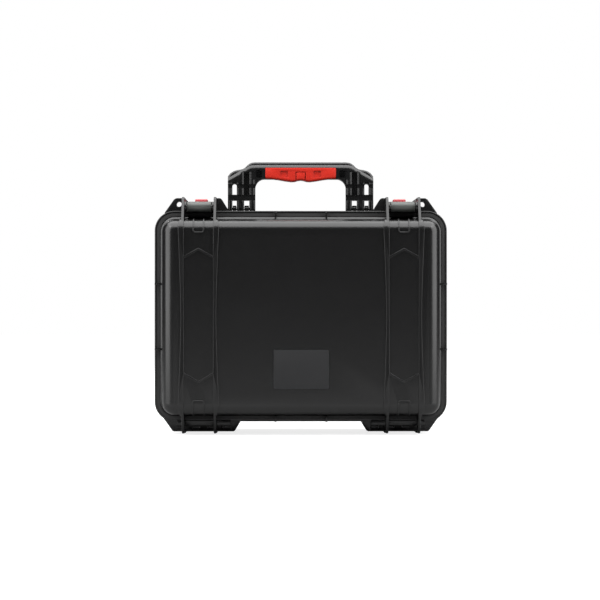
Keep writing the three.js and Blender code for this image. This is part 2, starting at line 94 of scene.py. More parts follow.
def edgeAlong(axis, tolerance=1e-5):
    def test(edge):
        a, b = (v.co for v in edge.verts)
        return all(abs(a[k] - b[k]) < tolerance for k in range(3) if k != axis)
    return test


def edgeAt(axis, value, tolerance=2e-5):
    def test(edge):
        return edge.calc_face_angle(0) > 0.2 and all(abs(v.co[axis] - value) < tolerance for v in edge.verts)
    return test


def roundEdges(piece, test, width, segments):
    if selectIn(piece, "edge", test):
        bpy.ops.mesh.bevel(offset=width, segments=segments, profile=0.5, affect="EDGES")
    leaveEdit()


def addBlock(name, low, high):
    deselectAll()
    low, high = Vector(low), Vector(high)
    bpy.ops.mesh.primitive_cube_add(size=1, location=(low + high) / 2)
    piece = bpy.context.object
    piece.scale = high - low
    return settle(piece, name)


def addRod(name, axis, start, end, place, radius, sides=32):
    # a round bar along one axis; place is its centre in the other two, in x, y, z order
    deselectAll()
    centre = list(place)
    centre.insert(axis, (start + end) / 2)
    turn = [(0, math.pi / 2, 0), (math.pi / 2, 0, 0), (0, 0, 0)][axis]
    bpy.ops.mesh.primitive_cylinder_add(
        vertices=sides, radius=radius, depth=abs(end - start), location=centre, rotation=turn)
    return settle(bpy.context.object, name)


def addOutline(name, axis, points, start, end):
    # a flat outline in the other two axes, pulled along this one
    deselectAll()
    bpy.ops.mesh.primitive_circle_add(vertices=len(points), radius=1, fill_type="NGON")
    piece = bpy.context.object
    piece.name = name
    for vertex, point in zip(piece.data.vertices, points):
        place = list(point)
        place.insert(axis, start)
        vertex.co = place
    makeActive(piece)
    bpy.ops.object.mode_set(mode="EDIT")
    bpy.ops.mesh.select_all(action="SELECT")
    pull = [0, 0, 0]
    pull[axis] = end - start
    bpy.ops.mesh.extrude_region_move(TRANSFORM_OT_translate={"value": pull})
    bpy.ops.mesh.select_all(action="SELECT")
    bpy.ops.mesh.normals_make_consistent(inside=False)
    leaveEdit()
    return piece


def arcPoints(centre, radius, startDegrees, endDegrees, steps):
    points = []
    for step in range(steps + 1):
        angle = math.radians(startDegrees + (endDegrees - startDegrees) * step / steps)
        points.append((centre[0] + radius * math.cos(angle), centre[1] + radius * math.sin(angle)))
    return points


def inMetres(points):
    return [(a * mm, b * mm) for a, b in points]


def combine(piece, other, operation):
    makeActive(piece)
    step = piece.modifiers.new("join", "BOOLEAN")
    step.operation = operation
    step.solver = "MANIFOLD"
    step.object = other
    bpy.ops.object.modifier_apply(modifier=step.name)
    bpy.data.objects.remove(other)
    return piece


def joined(piece, *others):
    for other in others:
        combine(piece, other, "UNION")
    return piece


def cutBy(piece, *others):
    for other in others:
        combine(piece, other, "DIFFERENCE")
    return piece


def keptInside(piece, other):
    return combine(piece, other, "INTERSECT")


def softenEdges(piece, width, segments=2, angle=32):
    makeActive(piece)
    step = piece.modifiers.new("soften", "BEVEL")
    step.width = width
    step.segments = segments
    step.limit_method = "ANGLE"
    step.angle_limit = math.radians(angle)
    step.use_clamp_overlap = True
    bpy.ops.object.modifier_apply(modifier=step.name)
    return piece


def smooth(piece, angle=38):
    makeActive(piece)
    bpy.ops.object.mode_set(mode="EDIT")
    bpy.ops.mesh.select_all(action="SELECT")
    bpy.ops.mesh.remove_doubles(threshold=1e-6)
    leaveEdit()
    bpy.ops.object.shade_smooth_by_angle(angle=math.radians(angle))
    return piece


def copyOf(piece, name):
    makeActive(piece)
    bpy.ops.object.duplicate()
    twin = bpy.context.object
    twin.name = name
    return twin


def shiftBy(piece, x=0.0, y=0.0, z=0.0):
    makeActive(piece)
    piece.location = (x, y, z)
    return settle(piece)


def flipAcross(piece):
    # the same piece on the other side of the middle
    makeActive(piece)
    piece.scale = (-1, 1, 1)
    settle(piece)
    bpy.ops.object.mode_set(mode="EDIT")
    bpy.ops.mesh.select_all(action="SELECT")
    bpy.ops.mesh.normals_make_consistent(inside=False)
    leaveEdit()
    return piece


# places taken from the frame
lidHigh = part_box("lid_shell")[1]
leverLow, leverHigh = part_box("latch_lever_left")
buttonLow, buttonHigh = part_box("release_button_left")
handleLow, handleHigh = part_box("handle_frame")
gripLow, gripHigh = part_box("handle_grip")
plateLow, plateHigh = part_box("name_plate")
foamLow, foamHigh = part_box("base_foam")
padLow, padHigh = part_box("lid_foam")
latchPinLow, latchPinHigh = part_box("latch_pin_left")
hingePinLow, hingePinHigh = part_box("hinge_pin_left")
handlePinLow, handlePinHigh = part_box("handle_pin_left")
catchPinLow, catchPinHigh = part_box("catch_pin_left")

halfGap = 0.15 * mm  # half of the gap between the two rims
parting = lidHigh.y + halfGap
latchX = (leverLow.x + leverHigh.x) / 2
latchAxis = (latchPinLow + latchPinHigh) / 2
hingeAxis = (hingePinLow + hingePinHigh) / 2
handleAxis = (handlePinLow + handlePinHigh) / 2

rimPlan = dict(halfWidth=lidHigh.x, bottom=14.1 * mm, top=259.1 * mm, radius=23 * mm, thickness=8 * mm)
wallPlan = dict(halfWidth=163.8 * mm, bottom=21.2 * mm, top=252 * mm, radius=18 * mm)


def grown(plan, amount):
    return dict(halfWidth=plan["halfWidth"] + amount, bottom=plan["bottom"] - amount,
                top=plan["top"] + amount, radius=plan["radius"] + amount)


def slabOf(name, plan, front, back, segments=12):
    # a block with rounded corners in the front view
    half = plan["halfWidth"]
    piece = addBlock(name, (-half, front, plan["bottom"]), (half, back, plan["top"]))
    roundEdges(piece, edgeAlong(1), plan["radius"], segments)
    return piece


ribSettings = dict(
    offset=18.4 * mm,          # guard's middle, either side of the latch
    thickness=3 * mm,
    proud=2 * mm,              # how far the ribs stand off the faces
    inner=16.8 * mm,           # inner line of a face rib, from the latch's middle
    outerMiddle=20.2 * mm,
    outerEnd=23.6 * mm,
    chevronHigh=215 * mm,
    chevronLow=60.2 * mm,
    chevronDrop=9.8 * mm,
    chevronWidth=2.8 * mm,
    loopTopHalf=6.6 * mm,
    loopLowHalf=7.2 * mm,
    loopWidth=1.5 * mm,
    loopTurn=3.2 * mm,
    loopRoot=4 * mm,
    loopTopEnd=232 * mm,
    loopLowEnd=41 * mm,
    bowHalf=104 * mm,          # the bowed part of a face rib, up and down from its middle
    reachHalf=118 * mm,
    bowPower=1.4,
    bowSteps=16,
    guardSoft=0.55 * mm,
)


def mirrored(piece):
    # the piece and its copy on the other side
    return [piece, flipAcross(copyOf(piece, piece.name + "Right"))]


def faceRibOutline(side):
    # one rib on the face, bowed outwards at both ends
    r = ribSettings
    middle = (rimPlan["top"] + rimPlan["bottom"]) / 2
    inner = latchX + side * r["inner"]
    reach = r["reachHalf"]
    points = [(inner, middle - reach), (inner, middle + reach)]
    outer = []
    for step in range(r["bowSteps"] + 1):
        t = 1 - 2 * step / r["bowSteps"]
        spread = r["outerMiddle"] + (r["outerEnd"] - r["outerMiddle"]) * abs(t) ** r["bowPower"]
        outer.append((latchX + side * spread, middle + t * r["bowHalf"]))
    tip = latchX + side * (r["offset"] + r["thickness"] / 2)
    return points + [(tip, middle + reach)] + outer + [(tip, middle - reach)]


def addChevron(name, peak, direction, front, back):
    # a V-shaped ridge between the two ribs
    r = ribSettings
    w = r["chevronWidth"]
    half = r["inner"] + 0.5 * mm
    drop = direction * r["chevronDrop"]
    points = [
        (latchX - half, peak - drop), (latchX, peak), (latchX + half, peak - drop),
        (latchX + half, peak - drop - direction * w), (latchX, peak - direction * w),
        (latchX - half, peak - drop - direction * w),
    ]
    return addOutline(name, 1, points, front, back)


def addLoop(name, half, root, end, front, back):
    # a small U-shaped ridge on the rounded edge, under the latch or over the hinge
    w = ribSettings["loopWidth"]
    direction = 1 if root > end else -1
    turn = ribSettings["loopTurn"]
    outer = [(latchX - half, root)]
    inner = [(latchX - half + w, root)]
    for side in (-1, 1):
        start, stop = (180, 270) if side < 0 else (270, 360)
        for a, b in arcPoints((0, 0), turn, start, stop, 5):
            outer.append((latchX + side * (half - turn) + a, end + direction * (b + turn)))
        for a, b in arcPoints((0, 0), turn - w, start, stop, 5):
            inner.append((latchX + side * (half - turn) + a, end + direction * (b + turn)))
    outer.append((latchX + half, root))
    inner.append((latchX + half - w, root))
    return addOutline(name, 1, outer + inner[::-1], front, back)


def addPattern(name, front, back):
    # the raised lines seen on each face, as prisms through the shell
    r = ribSettings
    first = addOutline(name, 1, faceRibOutline(-1), front, back)
    pieces = [
        addOutline("ribPrism", 1, faceRibOutline(1), front, back),
        addChevron("chevronTop", r["chevronHigh"], 1, front, back),
        addChevron("chevronBottom", r["chevronLow"], -1, front, back),
        addLoop("loopTop", r["loopTopHalf"], wallPlan["top"] + r["loopRoot"], r["loopTopEnd"], front, back),
        addLoop("loopBottom", r["loopLowHalf"], wallPlan["bottom"] - r["loopRoot"], r["loopLowEnd"],
                front, back),
    ]
    return joined(first, *pieces)


def addBody(name, plan, open_, far, edge, segments):
    # a tray's outer form: rounded corners, then a rounded far edge
    piece = slabOf(name, plan, min(open_, far), max(open_, far))
    roundEdges(piece, edgeAt(1, far), edge, segments)
    return piece


def addGuard(name, outline):
    # one of the ribs that guard a latch and a hinge
    r = ribSettings
    centre = latchX - r["offset"]
    piece = addOutline(name, 0, outline, centre - r["thickness"] / 2, centre + r["thickness"] / 2)
    return softenEdges(piece, r["guardSoft"], 2, 50)


def addGuards(outline):
    # four alike: either side of each latch
    r = ribSettings
    outer = addGuard("guardOuter", outline)
    inner = shiftBy(copyOf(outer, "guardInner"), x=2 * r["offset"])
    return [outer, inner] + [flipAcross(copyOf(guard, guard.name + "Right")) for guard in (outer, inner)]


earSettings = dict(
    padlock=((136.5, 250), (158.5, 250), (158.5, 257), (147.6, 272.4), (145.4, 273.8), (143.6, 274),
             (136.5, 274)),
    gusset=((84.7, 250), (98.5, 250), (98.5, 274), (94.6, 274), (93, 273.5), (91.8, 272.2), (84.7, 260.8)),
    holeX=141.8 * mm,
    holeZ=266.9 * mm,
    holeRadius=3.1 * mm,
    soft=0.6 * mm,
)


def addEars(front, back):
    # the padlock ear outside each latch and the gusset inside it
    e = earSettings
    made = []
    for kind in ("padlock", "gusset"):
        outline = [(-x * mm, z * mm) for x, z in e[kind]]
        ear = addOutline("ear", 1, outline, front, back)
        softenEdges(ear, e["soft"], 2, 50)
        if kind == "padlock":
            hole = addRod("earHole", 1, front - mm, back + mm, (-e["holeX"], e["holeZ"]), e["holeRadius"], 28)
            cutBy(ear, hole)
        made += mirrored(ear)
    return made


webSettings = dict(
    places=((29.5, 253.5, "upright"), (29.5, 17.5, "upright"), (166, 174, "level"), (166, 98.4, "level")),
    half=dict(upright=(1.0, 3.6), level=(3.6, 1.0)),
    reach=10 * mm,
    soft=0.4 * mm,
)


def addWebs(rimFace, direction):
    # small webs from the rim to the wall
    w = webSettings
    made = []
    for x, z, kind in w["places"]:
        half = w["half"][kind]
        ends = sorted((rimFace - direction * mm, rimFace + direction * w["reach"]))
        web = addBlock("web", ((x - half[0]) * mm, ends[0], (z - half[1]) * mm),
                       ((x + half[0]) * mm, ends[1], (z + half[1]) * mm))
        softenEdges(web, w["soft"], 2)
        made += mirrored(web)
    return made


knuckleSettings = dict(
    centre=-113 * mm,
    pitch=9 * mm,
    count=7,
    gap=0.4 * mm,
    radius=5.2 * mm,
    bore=2.3 * mm,
    armTop=15.5 * mm,
    armBack=0.4 * mm,
    armFront=7.5 * mm,
    armDepth=8 * mm,           # how far a knuckle of the base reaches back
    soft=0.35 * mm,
    cover=((-144.1 * mm, -33.4 * mm, 9.4 * mm), (-81.9 * mm, -31.7 * mm, 15.5 * mm)),
    coverSoft=0.4 * mm,
)


def addKnuckles(onLid):
    k = knuckleSettings
    made = []
    for index in range(k["count"]):
        if (index % 2 == 1) != onLid:
            continue
        middle = k["centre"] + (index - (k["count"] - 1) / 2) * k["pitch"]
        half = (k["pitch"] - k["gap"]) / 2
        y, z = hingeAxis.y, hingeAxis.z
        barrel = addRod("knuckle", 0, middle - half, middle + half, (y, z), k["radius"], 28)
        if onLid:
            front, back, top = y - k["armFront"], y - k["armBack"], k["armTop"]
            arm = [(y - k["radius"], z), (back, z), (back, top), (front, top)]
        else:
            low, high, back = z - k["radius"], z + k["radius"], y + k["armDepth"]
            arm = [(y, low), (back, low), (back, high), (y, high)]
        joined(barrel, addOutline("knuckleArm", 0, arm, middle - half, middle + half))
        cutBy(barrel, addRod("knuckleBore", 0, middle - half - mm, middle + half + mm, (y, z), k["bore"], 24))
        softenEdges(barrel, k["soft"], 1, 60)
        made += mirrored(barrel)
    if onLid:
        # a skirt in front of the knuckles' upper half
        made += mirrored(softenEdges(addBlock("knuckleCover", *k["cover"]), k["coverSoft"], 2))
    return made


lidSettings = dict(
    face=-74 * mm,
    step=4.6 * mm,          # the ledge round the foot of the wall
    lowStep=2.2 * mm,       # the body reaches this much lower
    stepDepth=7 * mm,
    ledgeRound=4 * mm,
    edge=13 * mm,
    edgeSegments=10,
    wallThickness=3.5 * mm,
    hollowInset=8.1 * mm,
    bossRadius=6 * mm,
    bossInner=14.6 * mm,
    plateGap=0.35 * mm,
    plateRecess=1.4 * mm,
    grooveInset=(2.65 * mm, 7.05 * mm),
    grooveFloor=-32 * mm,
    soft=0.9 * mm,
    bossSoft=0.4 * mm,
    hollowRound=9 * mm,
    recessCorner=1.9 * mm,
    boreHalf=23 * mm,
    boreRadius=2.5 * mm,
    guard=((-52, 274), (-54.5, 273), (-56.3, 271), (-66, 254), (-69.5, 247.5), (-74.4, 238.6), (-74.4, 232),
           (-60, 232), (-50, 244)),
    foot=((-60, 44), (-74.2, 44), (-74.2, 35), (-69, 24.5), (-66, 19.5), (-54, 3.4), (-52.2, 1.9), (-50, 1.5),
          (-42, 1.5), (-40.4, 2.2), (-34.4, 13.4), (-33, 14.6), (-30, 16), (-30, 24)),
)

guardRoot, guardTop = 250 * mm, 274 * mm  # where a latch guard leaves the rim, and its top


def ringCutter(inset, front, back):
    outer = slabOf("ringOuter", grown(rimPlan, -inset[0]), front, back, 8)
    inner = slabOf("ringInner", grown(rimPlan, -inset[1]), front - mm, back + mm, 8)
    return cutBy(outer, inner)


def makeLid():
    s = lidSettings
    rimFront = parting - rimPlan["thickness"]
    lid = slabOf("lidShell", rimPlan, rimFront, lidHigh.y)
    softenEdges(lid, s["soft"], 3)
    ledge = addBody("ledge", wallPlan, rimFront + mm, rimFront - s["stepDepth"], s["ledgeRound"], 6)
    bodyPlan = grown(wallPlan, -s["step"])
    bodyPlan["bottom"] -= s["lowStep"]
    body = addBody("lidBody", bodyPlan, rimFront + mm, s["face"], s["edge"], s["edgeSegments"])
    r = ribSettings
    bigger = addBody("lidBigger", grown(bodyPlan, r["proud"]), rimFront + mm, s["face"] - r["proud"],
                     s["edge"] + r["proud"], s["edgeSegments"])
    pattern = addPattern("lidPattern", s["face"] - 10 * mm, rimFront)
    joined(*mirrored(pattern))
    raised = keptInside(bigger, pattern)
    softenEdges(raised, s["soft"], 3, 50)
    joined(lid, ledge, body, raised)
    guard = [(lidHigh.y, guardRoot), (lidHigh.y, guardTop)] + inMetres(s["guard"])
    joined(lid, *addGuards(guard), *addGuards(inMetres(s["foot"])))
    joined(lid, *addEars(rimFront + mm, lidHigh.y), *addWebs(rimFront, -1), *addKnuckles(True))
    for side in (-1, 1):
        for hand in (-1, 1):
            ends = sorted(side * latchX + hand * x for x in (s["bossInner"], r["offset"]))
            boss = addRod("pivotBoss", 0, ends[0], ends[1], (latchAxis.y, latchAxis.z), s["bossRadius"], 32)
            joined(lid, softenEdges(boss, s["bossSoft"], 2))
    hollow = addBody("lidHollow", grown(wallPlan, -s["hollowInset"]), parting + mm,
                     s["face"] + s["wallThickness"], s["hollowRound"], 5)
    cutBy(lid, hollow, ringCutter(s["grooveInset"], s["grooveFloor"], parting + mm))
    low, high = plateLow, plateHigh
    recess = addBlock("plateRecess", (low.x - s["plateGap"], s["face"] - 5 * mm, low.z - s["plateGap"]),
                      (high.x + s["plateGap"], s["face"] + s["plateRecess"], high.z + s["plateGap"]))
    roundEdges(recess, edgeAlong(1), s["recessCorner"], 4)
    cutBy(lid, recess)
    for side in (-1, 1):
        left, right = side * latchX - s["boreHalf"], side * latchX + s["boreHalf"]
        cutBy(lid, addRod("pinBore", 0, left, right, (latchAxis.y, latchAxis.z), s["boreRadius"], 24))
    return smooth(lid)


lidShell = makeLid()
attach(lidShell, "lid")
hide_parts("lid_shell")
print("lid modelled", len(lidShell.data.polygons))


baseSettings = dict(
    face=74 * mm,
    edge=11 * mm,
    step=2.2 * mm,
    tongueInset=(3.6 * mm, 6.1 * mm),
    tongueTip=-28.9 * mm,
    keeper=((32 * mm, 256.6 * mm), (36.5 * mm, 260 * mm)),
    keeperRound=1.2 * mm,
    valveY=26 * mm,
    valveHole=6.3 * mm,
    valveTop=(244 * mm, 256 * mm),
    rimSoft=0.9 * mm,
    ribSoft=0.5 * mm,
    lugSoft=0.4 * mm,
    lugGap=0.6 * mm,
    lugBore=(52 * mm, 87 * mm, 1.9 * mm),
    ledgeRound=1.0 * mm,
    hollowRound=8.5 * mm,
    tongueRound=0.6 * mm,
    guard=((48, 274), (50, 273.2), (51.6, 271.6), (61, 259), (70.4, 246), (74.2, 240), (74.2, 232), (60, 232),
           (50, 246)),
    foot=((-19, 24), (-19, 1.2), (-18.2, 0.3), (-17, 0), (56, 0), (57.8, 0.5), (59, 2), (66, 18), (70, 26),
          (74.2, 34), (74.2, 44), (60, 44), (50, 24)),
    footPlate=((-69.6, 15), (-76.6, 3.2), (-78.4, 2), (-148.2, 2), (-149.8, 2.8), (-164.2, 22.8), (-158, 26),
               (-69.6, 22)),
    footPlates=((-19 * mm, -13 * mm), (44 * mm, 50 * mm)),
)

handleSlots = ((-80.6 * mm, -75.2 * mm), (-66.8 * mm, -60.3 * mm))


def makeBase():
    s, l, r = baseSettings, lidSettings, ribSettings
    rimBack = parting + rimPlan["thickness"] + mm
    rimFront = parting + halfGap
    base = slabOf("baseShell", rimPlan, rimFront, rimBack)
    softenEdges(base, s["rimSoft"], 3)
    ledge = addBody("ledge", wallPlan, rimBack - mm, rimBack + l["stepDepth"], s["ledgeRound"], 3)
    bodyPlan = grown(wallPlan, -s["step"])
    body = addBody("baseBody", bodyPlan, rimBack - mm, s["face"], s["edge"], 8)
    bigger = addBody("baseBigger", grown(bodyPlan, r["proud"]), rimBack - mm, s["face"] + r["proud"],
                     s["edge"] + r["proud"], 8)
    pattern = addPattern("basePattern", rimBack, s["face"] + 10 * mm)
    joined(*mirrored(pattern))
    raised = keptInside(bigger, pattern)
    softenEdges(raised, s["ribSoft"], 2, 50)
    joined(base, ledge, body, raised)
    guard = [(rimFront, guardRoot), (rimFront, guardTop)] + inMetres(s["guard"])
    joined(base, *addGuards(guard[::-1]), *addGuards(inMetres(s["foot"])[::-1]))
    joined(base, *addEars(rimFront, rimBack - mm), *addWebs(rimBack, 1), *addKnuckles(False))
    for front, back in s["footPlates"]:
        plate = addOutline("footPlate", 1, inMetres(s["footPlate"]), front, back)
        joined(base, *mirrored(softenEdges(plate, s["ribSoft"], 2, 50)))
    lugSide = [(3, 249), (17, 249), (14.6, 258), (14, 263)] + arcPoints((10, 263), 4, 15, 165, 10)
    lugSide += [(6, 263), (5.4, 258)]
    for left, right in handleSlots:
        lug = addOutline("handleLug", 0, inMetres(lugSide), left + s["lugGap"], right - s["lugGap"])
        joined(base, *mirrored(softenEdges(lug, s["lugSoft"], 2, 50)))
    (y0, z0), (y1, z1) = s["keeper"]
    bar = addBlock("keeper", (latchX - r["offset"], y0, z0), (latchX + r["offset"], y1, z1))
    roundEdges(bar, edgeAlong(0), s["keeperRound"], 4)
    joined(base, *mirrored(bar))
    hollow = addBody("baseHollow", grown(wallPlan, -l["wallThickness"]), parting - mm,
                     s["face"] - l["wallThickness"], s["hollowRound"], 4)
    cutBy(base, hollow)
    tongue = ringCutter(s["tongueInset"], s["tongueTip"], rimFront + mm)
    roundEdges(tongue, edgeAt(1, s["tongueTip"]), s["tongueRound"], 2)
    joined(base, tongue)
    cutBy(base, addRod("valveHole", 2, *s["valveTop"], (0, s["valveY"]), s["valveHole"], 32))
    near, far, radius = s["lugBore"]
    for side in (-1, 1):
        ends = sorted((side * near, side * far))
        cutBy(base, addRod("lugBore", 0, ends[0], ends[1], (handleAxis.y, handleAxis.z), radius, 24))
    return smooth(base)


baseShell = makeBase()
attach(baseShell, "base")
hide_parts("base_shell")
print("base modelled", len(baseShell.data.polygons))


handleSettings = dict(
    halfWidth=85.7,
    archHalf=53.4,
    archTop=298,
    archRadius=11,
    windowTop=292.4,
    barBottom=272.7,
    barTop=279.4,
    outerSlot=(75.2, 80.6),
    innerSlot=(60.3, 66.8),
    coreHalf=4.3,
    seatHalf=41.9,
    seatTop=311.4,
    seatBottom=297.7,
    frontDepth=6,          # the front layer, with the straight shoulder and the broad soft edge
    frontEdge=5.6,
    frontShoulder=((85.7, 299.6), (64, 312.4), (60.5, 314.0), (57, 314.8), (53, 315)),
    backShoulder=((85.7, 301.5), (82.8, 305.2), (79.1, 307.6), (75, 308.8), (71.1, 309.4), (66.8, 310.4),
                  (64.9, 312.3), (62.5, 314.7), (60.2, 316.4), (57.7, 317.5), (54, 318)),
    bands=((272.7, 279.2), (287.2, 291.8)),
    bandDepth=2.2,
    legSet=0.8,
    legFaces=((52.4, 70.6, 307), (70.6, 86.7, 293.5)),
    uprights=((54.8, 1.4, 297), (59.2, 1.2, 306), (67.9, 1.2, 306), (74.2, 1.0, 294), (81.6, 1.0, 294),
              (84.6, 1.1, 294)),
    pocket=(45.6, 52.2, 299.6, 308.6),
    pocketRound=1.2,
    backEdge=3,
    layerEdge=2.4,
    legRadius=9,
    legSoft=0.8,
    legBottom=250,             # cutters start here, below the legs
    seatCut=290,
    web=2,
    hood=(1.6, 285, 2.2, 1.0),
    innerTop=306.5,
    uprightBottom=262,
    pinHole=(52, 87, 1.9),
    soft=0.45,
)


def addArchWindow(x0, x1, bottom, top, front, back, name="window"):
    # an opening with a round top
    radius = (x1 - x0) / 2
    middle = (x0 + x1) / 2
    points = [(x0, bottom), (x1, bottom)] + arcPoints((middle, top - radius), radius, 0, 180, 8)
    return addOutline(name, 1, inMetres(points), front, back)


def addHandleLayer(name, shoulder, front, back):
    w = handleSettings["halfWidth"]
    right = list(shoulder)
    points = [(-w, 263), (w, 263)] + right + [(-x, z) for x, z in right[::-1]]
    return addOutline(name, 1, inMetres(points), front, back)


def makeHandleFrame():
    s = handleSettings
    front, back = handleLow.y, handleHigh.y
    w = s["halfWidth"]
    layerBack = front + s["frontDepth"] * mm
    piece = addHandleLayer("handleFrame", s["frontShoulder"], front, layerBack + mm)
    # the broad soft edge runs over both shoulders and along the top
    upper = s["frontShoulder"][0][1] * mm - 0.1 * mm

    def above(y):
        return lambda edge: edgeAt(1, y)(edge) and all(v.co.z > upper for v in edge.verts)

    roundEdges(piece, above(front), s["frontEdge"] * mm, 6)
    rear = addHandleLayer("handleBack", s["backShoulder"], layerBack, back)
    roundEdges(rear, above(back), s["backEdge"] * mm, 5)
    roundEdges(rear, above(layerBack), s["layerEdge"] * mm, 4)
    joined(piece, rear)
    for side in (-1, 1):
        ends = sorted((side * s["archHalf"] * mm, side * w * mm))
        leg = addRod("legEnd", 0, ends[0], ends[1], (handleAxis.y, handleAxis.z), s["legRadius"] * mm, 40)
        joined(piece, softenEdges(leg, s["legSoft"] * mm, 2))
    arch = [(-s["archHalf"], 240), (s["archHalf"], 240)]
    inner, radius = s["archHalf"] - s["archRadius"], s["archRadius"]
    arch += arcPoints((inner, s["archTop"] - radius), radius, 0, 90, 8)
    arch += arcPoints((-inner, s["archTop"] - radius), radius, 90, 180, 8)
    cutBy(piece, addOutline("archCut", 1, inMetres(arch), front - mm, back + mm))
    coreFront = handleAxis.y - s["coreHalf"] * mm
    coreBack = handleAxis.y + s["coreHalf"] * mm
    seat = s["seatHalf"] * mm
    seatCut, seatTop, seatBottom = (s[key] * mm for key in ("seatCut", "seatTop", "seatBottom"))
    for y0, y1 in ((front - mm, coreFront), (coreBack, back + mm)):
        cutBy(piece, addBlock("gripSeat", (-seat, y0, seatCut), (seat, y1, seatTop)))
    wider = (s["seatHalf"] + 1) * mm
    high = (s["seatTop"] + 1) * mm
    joined(piece, addBlock("core", (-wider, coreFront, seatBottom), (wider, coreBack, high)))
    cutBy(piece, addBlock("underCore", (-seat, front - mm, seatCut), (seat, back + mm, seatBottom)))
    web = s["web"] * mm
    faces = ((front - mm, handleAxis.y - web), (handleAxis.y + web, back + mm))
    for side in (-1, 1):
        for x0, x1 in (s["outerSlot"], s["innerSlot"]):
            a, b = sorted((side * x0, side * x1))
            low, high = s["legBottom"] * mm, s["barBottom"] * mm
            cutBy(piece, addBlock("lowSlot", (a * mm, front - mm, low), (b * mm, back + mm, high)))
        a, b = sorted((side * s["outerSlot"][0], side * s["outerSlot"][1]))
        cutBy(piece, addArchWindow(a, b, s["barTop"], s["windowTop"], front - mm, back + mm))
        # a hood over the window, cut back round a thin arch
        wider, bottom, higher, deep = s["hood"]
        a, b = sorted((side * (s["outerSlot"][0] - wider), side * (s["outerSlot"][1] + wider)))
        cutBy(piece, addArchWindow(a, b, bottom, s["windowTop"] + higher, front - mm, front + deep * mm))
        a, b = sorted((side * s["innerSlot"][0], side * s["innerSlot"][1]))
        for y0, y1 in faces:
            cutBy(piece, addArchWindow(a, b, s["barTop"], s["innerTop"], y0, y1))
        x0, x1, z0, z1 = s["pocket"]
        a, b = sorted((side * x0, side * x1))
        for y0, y1 in faces:
            pocket = addBlock("shoulderPocket", (a * mm, y0, z0 * mm), (b * mm, y1, z1 * mm))
            roundEdges(pocket, edgeAlong(1), s["pocketRound"] * mm, 4)
            cutBy(piece, pocket)
        # uprights stand a little proud of the legs, each with a round front
        for outward, face in ((-1, front), (1, back)):
            ends = sorted((face + outward * mm, face - outward * s["legSet"] * mm))
            for x0, x1, high in s["legFaces"]:
                a, b = sorted((side * x0, side * x1))
                low = s["legBottom"] * mm
                cutBy(piece, addBlock("legFace", (a * mm, ends[0], low), (b * mm, ends[1], high * mm)))
            for x, radius, high in s["uprights"]:
                place = (side * x * mm, face - outward * radius * mm)
                low = s["uprightBottom"] * mm
                joined(piece, addRod("upright", 2, low, high * mm, place, radius * mm, 20))
        # bars set back between the uprights
        a, b = sorted((side * 53, side * 86))
        for z0, z1 in s["bands"]:
            depth = s["bandDepth"] * mm
            for y0, y1 in ((front - mm, front + depth), (back - depth, back + mm)):
                cutBy(piece, addBlock("barBand", (a * mm, y0, z0 * mm), (b * mm, y1, z1 * mm)))
        near, far, radius = s["pinHole"]
        ends = sorted((side * near * mm, side * far * mm))
        cutBy(piece, addRod("pinHole", 0, ends[0], ends[1], (handleAxis.y, handleAxis.z), radius * mm, 24))
    softenEdges(piece, s["soft"] * mm, 2, 55)
    return smooth(piece, 34)


handleFrame = makeHandleFrame()
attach(handleFrame, "handle")
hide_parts("handle_frame")

gripSettings = dict(
    underside=((-41.6, 298.4), (-34, 298.0), (-26, 297.0), (-18, 295.6), (-11, 294.7), (-7, 294.9),
               (-3.6, 296.0), (0, 296.5), (3.6, 296.0), (7, 294.9), (11, 294.7), (18, 295.6), (26, 297.0),
               (34, 298.0), (41.6, 298.4)),
    round=2.6,
    recess=(15, 24),
    recessDepth=1.8,
    panelHalf=5.5,
    panelTop=306.6,
    lineWidth=1.2,
    lineDepth=1.5,
    topHalf=41.6,
    top=311.1,
    firstSoft=0.7,
    lastSoft=0.25,
    recessHeights=(299.6, 307.6),
    recessRound=1.2,
    lineBottom=290,
    slot=(50, 297.4, 313),
    slotGap=0.3,
)


